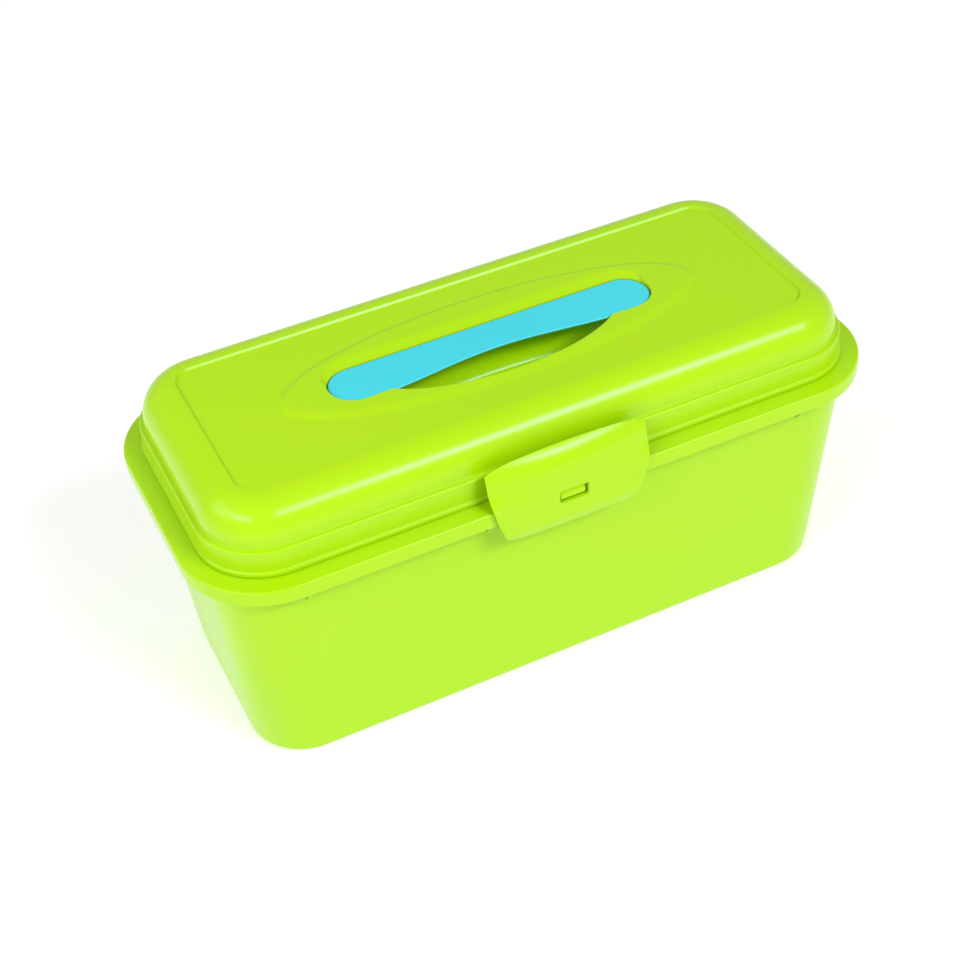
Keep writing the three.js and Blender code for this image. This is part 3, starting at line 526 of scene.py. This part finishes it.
def latch_point(u, v):
    """A point of the plate's outer face: u runs across from -1 to 1 and v up from 0 to 1."""
    side = abs(u)
    full_turn = math.radians(CURL_ANGLE - CURL_LOSS * side ** 2)
    straight = CURL_Z - LATCH_BOTTOM
    low = LATCH_SAG * side ** 2 + LATCH_LOW_ROUND * side ** 8
    along = low + (straight + CURL_RADIUS * full_turn - LATCH_HIGH_ROUND * side ** 10 - low) * v
    turn = max(along - straight, 0) / CURL_RADIUS
    z = LATCH_BOTTOM + min(along, straight) + CURL_RADIUS * math.sin(turn)
    share = min(max((z - LATCH_BOTTOM) / (CROWN_TO - LATCH_BOTTOM), 0), 1)
    half = LATCH_LOW_HALF + (LATCH_HALF - LATCH_LOW_HALF) * math.sin(share * math.pi / 2)
    blend = min(max((z - CROWN_FROM) / (CROWN_TO - CROWN_FROM), 0), 1)
    crown = LOW_CROWN + (HIGH_CROWN - LOW_CROWN) * blend * blend * (3 - 2 * blend)
    hook = HOOK_DEPTH * (max(HOOK_Z - z, 0) / (HOOK_Z - LATCH_BOTTOM)) ** 2
    y = LATCH_FACE + crown * side ** 2 + hook + CURL_RADIUS * (1 - math.cos(turn))
    return Vector((LATCH_X + u * half, y, z))


def latch_plate():
    """The plate as a grid of its outer face and a matching grid one skin behind it."""
    across, up = 48, 56
    us = [math.sin(math.pi / 2 * (2 * i / across - 1)) for i in range(across + 1)]
    vs = [0.5 - 0.5 * math.cos(math.pi * k / up) for k in range(up + 1)]
    outer = [[latch_point(u, v) for u in us] for v in vs]
    inner = []
    for k, row in enumerate(outer):
        line = []
        for i, point in enumerate(row):
            right = row[min(i + 1, across)] - row[max(i - 1, 0)]
            above = outer[min(k + 1, up)][i] - outer[max(k - 1, 0)][i]
            line.append(point - right.cross(above).normalized() * LATCH_SKIN)
        inner.append(line)
    bm = bmesh.new()
    front = [[bm.verts.new(p * MM) for p in row] for row in outer]
    back = [[bm.verts.new(p * MM) for p in row] for row in inner]
    for k in range(up):
        for i in range(across):
            bm.faces.new((front[k][i], front[k][i + 1], front[k + 1][i + 1], front[k + 1][i]))
            bm.faces.new((back[k][i], back[k + 1][i], back[k + 1][i + 1], back[k][i + 1]))
    loops = [[grid[0][i] for i in range(across + 1)] + [grid[k][across] for k in range(1, up + 1)]
             + [grid[up][i] for i in range(across - 1, -1, -1)] + [grid[k][0] for k in range(up - 1, 0, -1)]
             for grid in (front, back)]
    count = len(loops[0])
    rims = []
    for i in range(count):
        k = (i + 1) % count
        bm.faces.new((loops[0][i], loops[1][i], loops[1][k], loops[0][k]))
    for loop in loops:
        rims += [bm.edges.get((loop[i], loop[(i + 1) % count])) for i in range(count)]
    bmesh.ops.bevel(bm, geom=rims, offset=0.55 * MM, segments=4, profile=0.5, affect="EDGES",
                    clamp_overlap=True)
    return finished_mesh("latch_plate_body", bm)


def build_latch():
    latch = latch_plate()
    x0, x1 = LATCH_X - BARREL_HALF, LATCH_X + BARREL_HALF
    web_low, web_high = LATCH_PIN_Z - 1.4, LATCH_PIN_Z + 1.2
    web = [(LATCH_FACE + LATCH_SKIN, web_low), (LATCH_PIN_Y, web_low), (LATCH_PIN_Y, web_high),
           (LATCH_FACE + 2.5, web_high)]
    add(latch, prism("web", web, "X", x0, x1),
        rod("barrel", BARREL, x0, x1, LATCH_PIN_Y, LATCH_PIN_Z, 0.3))
    right = filleted([(0, SLOT_LOW, 0), (SLOT_HALF, SLOT_LOW, 1.4), (SLOT_HALF, SLOT_HIGH, 0.5),
                      (0, SLOT_HIGH, 0)])[1:-1]
    outline = [(SLOT_X + a, z) for a, z in right] + [(SLOT_X - a, z) for a, z in reversed(right)]
    relief_r, relief_half = 2.5, 2.4
    reliefs = both(lambda end: rod("relief", relief_r, LATCH_X + end * EAR_X - relief_half,
                                   LATCH_X + end * EAR_X + relief_half, LATCH_PIN_Y, LATCH_PIN_Z))
    cut(latch, prism("slot", outline, "Y", -84, -70), *reliefs,
        rod("bore", LATCH_BORE, x0 - 4, x1 + 4, LATCH_PIN_Y, LATCH_PIN_Z))
    return smooth(latch)


# ---- Trays and dividers ----

def upper_bay():
    z0 = UPPER_RAIL + RAIL_GAP
    x0 = -(tub_inner_x(z0) - TRAY_GAP)
    half_y = tub_inner_y(z0) - TRAY_GAP
    return {"x0": x0, "x1": x0 + TRAY_LENGTH, "half_y": half_y, "z0": z0, "open_end": 1}


def lower_bay():
    z0 = LOWER_RAIL + RAIL_GAP
    x1 = tub_inner_x(z0) - TRAY_GAP
    return {"x0": x1 - TRAY_LENGTH, "x1": x1, "half_y": UPPER_REACH - 0.7, "z0": z0, "open_end": -1}


def tray_skin(name, bay):
    """A tray's floor and walls with a small outward lip, and a finger notch in its inner end."""
    z0, top = bay["z0"], bay["z0"] + TRAY_HEIGHT
    path = filleted([
        (12, z0 + TRAY_SKIN, 0), (TRAY_DRAFT + TRAY_SKIN, z0 + TRAY_SKIN, 1.6),
        (TRAY_SKIN + 0.1, top, 0.5), (-0.1, top, 0.5), (-0.1, top - 2.0, 0.3), (0.35, top - 2.3, 0.3),
        (TRAY_DRAFT, z0, 1.8), (12, z0, 0)], steps=5)
    rings = [rectangle_ring(bay["x0"] + a, bay["x1"] - a, -bay["half_y"] + a, bay["half_y"] - a,
                            TRAY_CORNER - a, z) for a, z in path]
    tray = loft(name, rings)
    end_x = bay["x1"] if bay["open_end"] > 0 else bay["x0"]
    return cut(tray, rod("notch", 12, end_x - 6, end_x + 6, 0, top + 3))


def slot_ribs(x, wall_y, side, z0):
    y0, y1 = sorted((wall_y, wall_y + side * RIB_DEPTH))
    return both(lambda face: rounded_block(
        "rib", x + face * TRAY_RIB_GAP - RIB_HALF, x + face * TRAY_RIB_GAP + RIB_HALF, y0, y1,
        z0 + 0.8, z0 + TRAY_HEIGHT - 2, 0.2, 2))


def divider(name, x, y0, y1, z0, z1, thick):
    """A thin plate with rounded upper corners and a shallow finger scoop in its top edge."""
    middle, half = (y0 + y1) / 2, (y1 - y0) / 2
    right = filleted([(0, z0, 0), (half, z0, 0.8), (half, z1, 3.0), (SCOOP_HALF + 2, z1, 1.5),
                      (SCOOP_HALF - 2, z1 - SCOOP, 2.0), (0, z1 - SCOOP, 0)], steps=6)
    outline = [(middle + a, z) for a, z in right] + [(middle - a, z) for a, z in reversed(right[1:-1])]
    return smooth(prism(name, outline, "X", x - thick / 2, x + thick / 2, edge=0.3, segments=2))


def peg(x, z0):
    """A tapered spool peg with a flared foot."""
    top = z0 + 0.8 + PEG_HEIGHT
    path = filleted([(PEG_FOOT, z0 + 1.0, 0), (PEG_LOW, z0 + 2.2, 2.0), (PEG_HIGH, top, 1.0),
                     (PEG_TIP, top, 0)], steps=6)
    turns = [2 * math.pi * k / PEG_STEPS for k in range(PEG_STEPS)]
    return loft("peg", [[Vector((x + radius * math.cos(a), PEG_Y + radius * math.sin(a), z)) for a in turns]
                        for radius, z in path])


def build_upper_tray():
    bay = upper_bay()
    z0 = bay["z0"]
    wall = -(bay["half_y"] - TRAY_DRAFT - TRAY_SKIN)
    middle = (bay["x0"] + bay["x1"]) / 2
    xs = [middle + step * TRAY_LENGTH / 4 for step in (-1, 0, 1)]
    tray = tray_skin("upper_tray_skin", bay)
    add(tray, rounded_block("long_wall", bay["x0"] + 2, bay["x1"] - 2, LONG_WALL_Y, LONG_WALL_Y + TRAY_SKIN,
                            z0 + 0.8, z0 + TRAY_HEIGHT - 1, 0.3, 2))
    add(tray, *[peg(middle + PEG_PITCH * (i - (PEG_COUNT - 1) / 2), z0) for i in range(PEG_COUNT)])
    for x in xs:
        add(tray, *slot_ribs(x, wall - 0.5, 1, z0), *slot_ribs(x, LONG_WALL_Y + 0.5, -1, z0))
    plates = [divider(f"upper_divider_{i + 1}", x, wall + 0.4, LONG_WALL_Y - 0.4, z0 + 1.9,
                      z0 + TRAY_HEIGHT - 1.5, TRAY_PLATE_THICK) for i, x in enumerate(xs)]
    return smooth(tray), plates


def build_lower_tray():
    bay = lower_bay()
    z0 = bay["z0"]
    wall = bay["half_y"] - TRAY_DRAFT - TRAY_SKIN
    xs = [bay["x0"] + step * TRAY_LENGTH / 3 for step in (1, 2)]
    tray = tray_skin("lower_tray_skin", bay)
    for x in xs:
        for side in (-1, 1):
            add(tray, *slot_ribs(x, side * (wall + 0.5), -side, z0))
    plates = [divider(f"lower_divider_{i + 1}", x, -wall + 0.4, wall - 0.4, z0 + 1.9,
                      z0 + TRAY_HEIGHT - 1.5, TRAY_PLATE_THICK) for i, x in enumerate(xs)]
    return smooth(tray), plates


# ---- Materials ----

def plastic(name, colour, deep, sheen, roughness, grain):
    """Moulded plastic: faint flow marks in the colour, uneven gloss and a fine orange-peel surface."""
    material = bpy.data.materials.new(name)
    material.use_nodes = True
    nodes, links = material.node_tree.nodes, material.node_tree.links
    shader = nodes["Principled BSDF"]
    shader.inputs["IOR"].default_value = PLASTIC_IOR
    shader.inputs["Specular IOR Level"].default_value = PLASTIC_SPECULAR
    shader.inputs["Specular Tint"].default_value = (*sheen, 1)
    place = nodes.new("ShaderNodeTexCoord")

    def noise(scale, detail):
        node = nodes.new("ShaderNodeTexNoise")
        node.inputs["Scale"].default_value = scale
        node.inputs["Detail"].default_value = detail
        links.new(place.outputs["Object"], node.inputs["Vector"])
        return node

    flow = noise(FLOW_SCALE, 3)
    mix = nodes.new("ShaderNodeMix")
    mix.data_type = "RGBA"
    mix.inputs["A"].default_value = (*deep, 1)
    mix.inputs["B"].default_value = (*colour, 1)
    spread = nodes.new("ShaderNodeMapRange")
    spread.inputs["From Min"].default_value = 0.3
    spread.inputs["From Max"].default_value = 0.6
    links.new(flow.outputs["Fac"], spread.inputs["Value"])
    links.new(spread.outputs["Result"], mix.inputs["Factor"])
    links.new(mix.outputs["Result"], shader.inputs["Base Color"])
    gloss = nodes.new("ShaderNodeMapRange")
    gloss.inputs["To Min"].default_value = roughness - 0.04
    gloss.inputs["To Max"].default_value = roughness + 0.05
    links.new(noise(GLOSS_SCALE, 4).outputs["Fac"], gloss.inputs["Value"])
    links.new(gloss.outputs["Result"], shader.inputs["Roughness"])
    peel = nodes.new("ShaderNodeBump")
    peel.inputs["Strength"].default_value = grain
    peel.inputs["Distance"].default_value = PEEL_DEPTH
    links.new(noise(PEEL_SCALE, 2).outputs["Fac"], peel.inputs["Height"])
    links.new(peel.outputs["Normal"], shader.inputs["Normal"])
    return material


def steel():
    """Drawn wire: fine lines along its length and a little tarnish."""
    material = bpy.data.materials.new("drawn_steel")
    material.use_nodes = True
    nodes, links = material.node_tree.nodes, material.node_tree.links
    shader = nodes["Principled BSDF"]
    shader.inputs["Metallic"].default_value = 1.0
    place = nodes.new("ShaderNodeTexCoord")
    stretch = nodes.new("ShaderNodeMapping")
    stretch.inputs["Scale"].default_value = WIRE_SCALE
    links.new(place.outputs["Object"], stretch.inputs["Vector"])
    lines = nodes.new("ShaderNodeTexNoise")
    links.new(stretch.outputs["Vector"], lines.inputs["Vector"])
    colour = nodes.new("ShaderNodeValToRGB")
    colour.color_ramp.elements[0].color = (0.42, 0.42, 0.43, 1)
    colour.color_ramp.elements[1].color = (0.66, 0.67, 0.68, 1)
    links.new(lines.outputs["Fac"], colour.inputs["Fac"])
    links.new(colour.outputs["Color"], shader.inputs["Base Color"])
    gloss = nodes.new("ShaderNodeMapRange")
    gloss.inputs["To Min"].default_value = 0.22
    gloss.inputs["To Max"].default_value = 0.4
    links.new(lines.outputs["Fac"], gloss.inputs["Value"])
    links.new(gloss.outputs["Result"], shader.inputs["Roughness"])
    peel = nodes.new("ShaderNodeBump")
    peel.inputs["Strength"].default_value = 0.3
    peel.inputs["Distance"].default_value = WIRE_DEPTH
    links.new(lines.outputs["Fac"], peel.inputs["Height"])
    links.new(peel.outputs["Normal"], shader.inputs["Normal"])
    return material


LIME = plastic("lime_plastic", (0.395, 0.672, 0.002), (0.383, 0.658, 0.002), (0.5, 0.9, 1.0), 0.23, 0.15)
CYAN = plastic("cyan_plastic", (0.053, 0.60, 0.70), (0.046, 0.585, 0.685), (1, 1, 1), 0.22, 0.2)
FROST = plastic("frosted_plastic", (0.80, 0.87, 0.85), (0.76, 0.84, 0.82), (1, 1, 1), 0.42, 0.35)
STEEL = steel()


def place_piece(piece, body, nodes, material):
    piece.data.materials.clear()
    piece.data.materials.append(material)
    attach(piece, body)
    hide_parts(*nodes)


# ---- Assembly ----

def build_pins():
    latch_pin = rod("latch_wire", LATCH_WIRE, LATCH_X - LATCH_WIRE_HALF, LATCH_X + LATCH_WIRE_HALF,
                    LATCH_PIN_Y, LATCH_PIN_Z, 0.25)
    place_piece(smooth(latch_pin), "lid_body", ["latch_pin"], STEEL)
    reach = KNUCKLE / 2 + HINGE_GAP + 2 * EAR_HALF + WIRE_PROUD
    for end, side in ((-1, "left"), (1, "right")):
        wire = rod(f"hinge_wire_{side}", HINGE_WIRE, end * HINGE_X - reach, end * HINGE_X + reach,
                   HINGE_Y, HINGE_Z, 0.3)
        place_piece(smooth(wire), "base_body", [f"hinge_pin_{side}"], STEEL)


def build_box():
    place_piece(build_tub(), "base_body", ["base_tub"], LIME)
    for end, side in ((-1, "left"), (1, "right")):
        plate = divider(f"base_divider_plate_{side}", end * BASE_PLATE_X, -BASE_PLATE_Y, BASE_PLATE_Y,
                        BASE_PLATE_LOW, BASE_PLATE_HIGH, BASE_PLATE_THICK)
        place_piece(plate, "base_body", [f"base_divider_{side}"], FROST)
    place_piece(build_lid(), "lid_body", ["lid_shell"], LIME)
    place_piece(build_strap(), "handle_body", ["handle_strap"], CYAN)
    place_piece(build_latch(), "latch_body", ["latch"], LIME)
    for level, build in (("upper", build_upper_tray), ("lower", build_lower_tray)):
        tray, plates = build()
        place_piece(tray, f"{level}_tray_body", [f"{level}_tray"], CYAN)
        for i, plate in enumerate(plates):
            node = f"{level}_tray_divider_{i + 1}"
            place_piece(plate, f"{level}_tray_body", [node], FROST)
    build_pins()


build_box()


# ---- Floor, light and camera ----

def add_floor():
    bpy.ops.mesh.primitive_plane_add(size=FLOOR_SIZE, location=(0, 0, FLOOR_Z))
    floor = bpy.context.active_object
    floor.name = "floor"
    material = bpy.data.materials.new("pale_floor")
    material.use_nodes = True
    shader = material.node_tree.nodes["Principled BSDF"]
    shader.inputs["Base Color"].default_value = (FLOOR_GREY, FLOOR_GREY, FLOOR_GREY, 1)
    shader.inputs["Emission Color"].default_value = (1, 1, 1, 1)
    shader.inputs["Emission Strength"].default_value = FLOOR_GLOW
    shader.inputs["Roughness"].default_value = 0.9
    floor.data.materials.append(material)


def add_softbox(name, direction, distance, width, height, power):
    """An area light, in metres and watts, that stands in a direction from the box and faces it."""
    light = bpy.data.lights.new(name, "AREA")
    light.shape, light.size, light.size_y, light.energy = "RECTANGLE", width, height, power
    lamp = bpy.data.objects.new(name, light)
    away = Vector(direction).normalized()
    lamp.location = Vector(LIGHT_AIM) + away * distance
    lamp.rotation_mode = "QUATERNION"
    lamp.rotation_quaternion = (-away).to_track_quat("-Z", "Y")
    bpy.context.scene.collection.objects.link(lamp)


def add_world():
    world = bpy.data.worlds.new("studio")
    world.use_nodes = True
    sky = world.node_tree.nodes["Background"]
    sky.inputs["Color"].default_value = (1, 1, 1, 1)
    sky.inputs["Strength"].default_value = SKY_STRENGTH
    bpy.context.scene.world = world


def add_camera():
    data = bpy.data.cameras.new("camera")
    data.sensor_width, data.lens = CAMERA_SENSOR, CAMERA_LENS
    camera = bpy.data.objects.new("camera", data)
    forward = Vector(CAMERA_FORWARD).normalized()
    right = forward.cross(Vector(CAMERA_UP)).normalized()
    up = right.cross(forward)
    turn = Matrix((right, up, -forward)).transposed()
    camera.matrix_world = Matrix.Translation(Vector(CAMERA_PLACE) * MM) @ turn.to_4x4()
    bpy.context.scene.collection.objects.link(camera)
    bpy.context.scene.camera = camera


add_floor()
add_world()
add_softbox("key", (0.89, -1.77, 1.88), 2.73, 1.2, 0.48, 46)
add_softbox("left_fill", (-0.9, 0.15, 0.6), 1.6, 1.0, 0.8, 6)
add_softbox("corner", (-0.70, -0.37, 0.60), 1.35, 0.6, 0.2, 5.3)
add_camera()
bpy.context.scene.view_settings.view_transform = "Standard"
